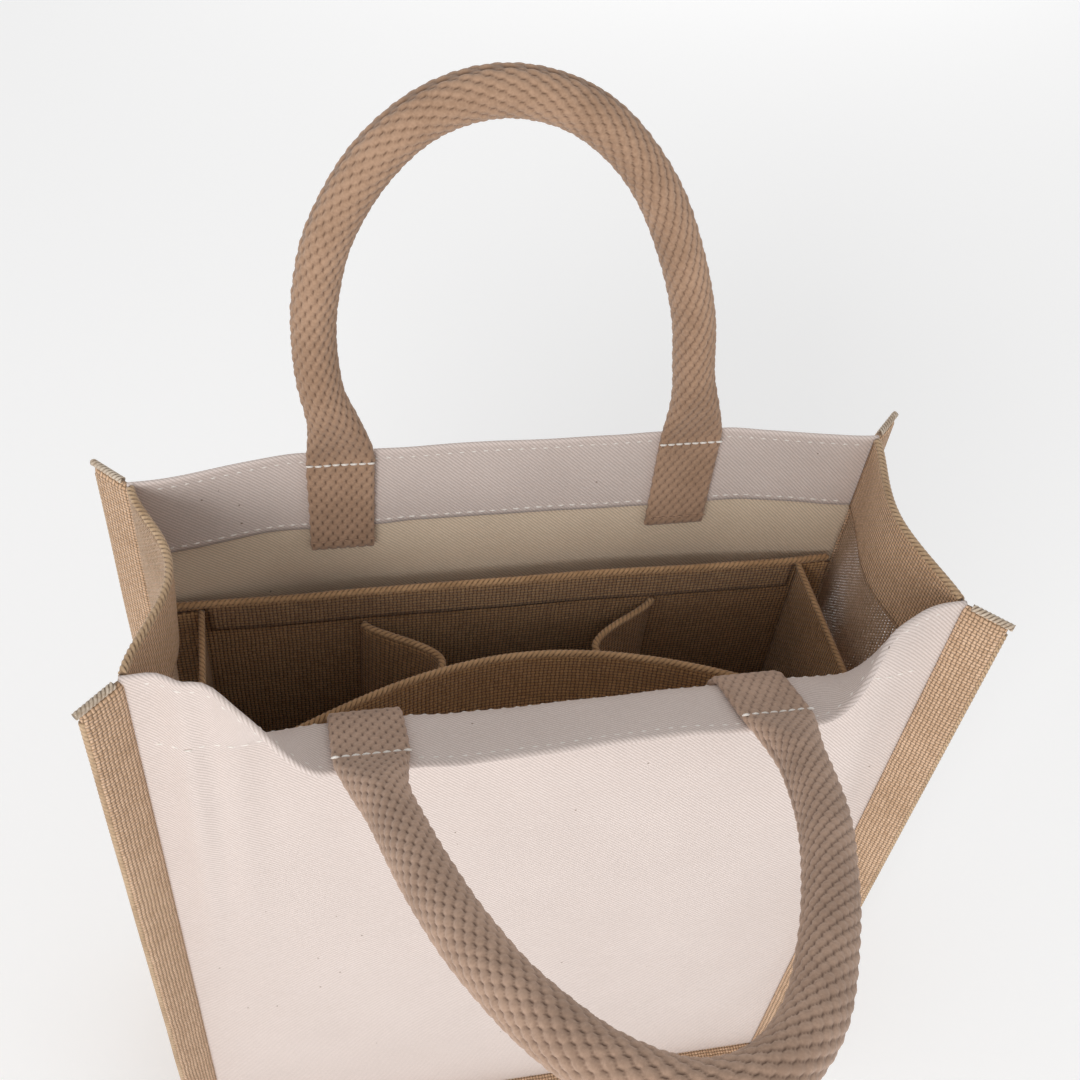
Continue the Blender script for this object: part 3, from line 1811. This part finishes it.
# ------------------------------------------------------------------ studio
@dataclass
class Studio:
    """Camera, floor and soft lights."""

    target: Vector = field(default_factory=lambda: Vector((0.0772, 0.2789, 0.0631)))
    distance: float = 0.8719
    azimuth: float = math.radians(-15.56)
    elevation: float = math.radians(46.04)
    roll: float = math.radians(7.06)
    lens: float = 43.52
    floor_glow: float = 0.17
    sky: float = 0.62

    def camera(self) -> bpy.types.Object:
        """Adds the camera and makes it the scene's.

        Returns:
            The camera.
        """
        sin_a, cos_a = math.sin(self.azimuth), math.cos(self.azimuth)
        sin_e, cos_e = math.sin(self.elevation), math.cos(self.elevation)
        back = Vector((sin_a * cos_e, -cos_a * cos_e, sin_e))
        right = UP.cross(back).normalized()
        up = back.cross(right)
        turned_right = right * math.cos(self.roll) + up * math.sin(self.roll)
        turned_up = up * math.cos(self.roll) - right * math.sin(self.roll)
        data = bpy.data.cameras.new("view")
        data.lens = self.lens
        data.sensor_width = 36.0
        data.clip_start = 0.01
        camera = bpy.data.objects.new("view", data)
        turned = Matrix((turned_right, turned_up, back)).transposed().to_4x4()
        camera.matrix_world = Matrix.Translation(self.target + back * self.distance) @ turned
        bpy.context.scene.collection.objects.link(camera)
        bpy.context.scene.camera = camera
        return camera

    def floor(self) -> bpy.types.Object:
        """Adds a plain pale floor.

        Returns:
            The floor.
        """
        mesh = bmesh.new()
        bmesh.ops.create_grid(mesh, x_segments=1, y_segments=1, size=6.0)
        nodes = Nodes("floor_white")
        nodes.feed(nodes.shader, "Base Color", (0.9, 0.9, 0.9, 1.0))
        nodes.feed(nodes.shader, "Roughness", 0.9)
        nodes.feed(nodes.shader, "Emission Color", (1.0, 1.0, 1.0, 1.0))
        nodes.feed(nodes.shader, "Emission Strength", self.floor_glow)
        floor = finish_object(mesh, "floor", [nodes.material])
        return floor

    def light(self, name: str, place: Vector, size: float, power: float) -> None:
        """Adds one soft area light that looks at the bag.

        Args:
            name: Name of the light.
            place: Where it stands.
            size: Width of its square.
            power: In watts.
        """
        data = bpy.data.lights.new(name, "AREA")
        data.size = size
        data.energy = power
        lamp = bpy.data.objects.new(name, data)
        aim = Vector((0.0, 0.0, 0.25)) - place
        lamp.matrix_world = Matrix.Translation(place) @ aim.to_track_quat("-Z", "Y").to_matrix().to_4x4()
        bpy.context.scene.collection.objects.link(lamp)

    def build(self) -> None:
        """Adds the whole studio."""
        self.camera()
        self.floor()
        self.light("key", Vector((-1.0, -1.7, 1.0)), 1.0, 21.0)
        self.light("side", Vector((1.7, -1.0, 0.8)), 1.2, 3.0)
        self.light("back", Vector((0.6, 1.9, 0.6)), 1.2, 5.0)
        world = bpy.data.worlds.new("studio")
        world.use_nodes = True
        world.node_tree.nodes["Background"].inputs[0].default_value = (1.0, 1.0, 1.0, 1.0)
        world.node_tree.nodes["Background"].inputs[1].default_value = self.sky
        bpy.context.scene.world = world
        bpy.context.scene.view_settings.view_transform = "Standard"


BACK_RISE = 134.0 * MM
FRONT_RISE = 142.0 * MM
BACK_LOOP = (  # across and up, as shares of the half spread and of the rise
    (-1.03, 0.08), (-1.09, 0.21), (-1.11, 0.36), (-1.09, 0.50), (-1.01, 0.66), (-0.82, 0.83), (-0.56, 0.95),
    (-0.25, 1.0), (0.06, 0.975), (0.33, 0.89), (0.57, 0.745), (0.75, 0.56), (0.87, 0.38), (0.93, 0.21),
    (0.98, 0.08),
)
FRONT_LOOP = (
    (-0.98, 0.08), (-0.93, 0.21), (-0.86, 0.38), (-0.75, 0.58), (-0.60, 0.76), (-0.40, 0.91), (-0.16, 0.995),
    (0.10, 0.985), (0.36, 0.88), (0.58, 0.70), (0.75, 0.52), (0.87, 0.36), (0.94, 0.21), (0.98, 0.08),
)


def main() -> None:
    """Builds the studio and every piece of the bag, in order."""
    logging.basicConfig(level=logging.INFO)
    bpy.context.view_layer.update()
    Studio().build()
    palette = Palette.make()
    form = BagForm.from_frame()
    pieces: list[bpy.types.Object] = []
    panels = CanvasPanels(form, palette)
    pieces += panels.build(front=True) + panels.build(front=False)
    sides = JuteSides(form, palette)
    pieces += sides.build_gusset(-1) + sides.build_gusset(1)
    pieces.append(sides.build_base())
    pieces += SeamBindings(form, palette).build_all()
    pieces += Handle(form, palette, True, FRONT_LOOP, FRONT_RISE).build()
    pieces += Handle(form, palette, False, BACK_LOOP, BACK_RISE).build()
    pieces += JuteInsert(InsertForm.from_frame(), palette).build()
    for piece in pieces:
        LOG.info("%s: %d faces", piece.name, len(piece.data.polygons))
    bpy.context.view_layer.update()


if __name__ == "__main__":
    main()
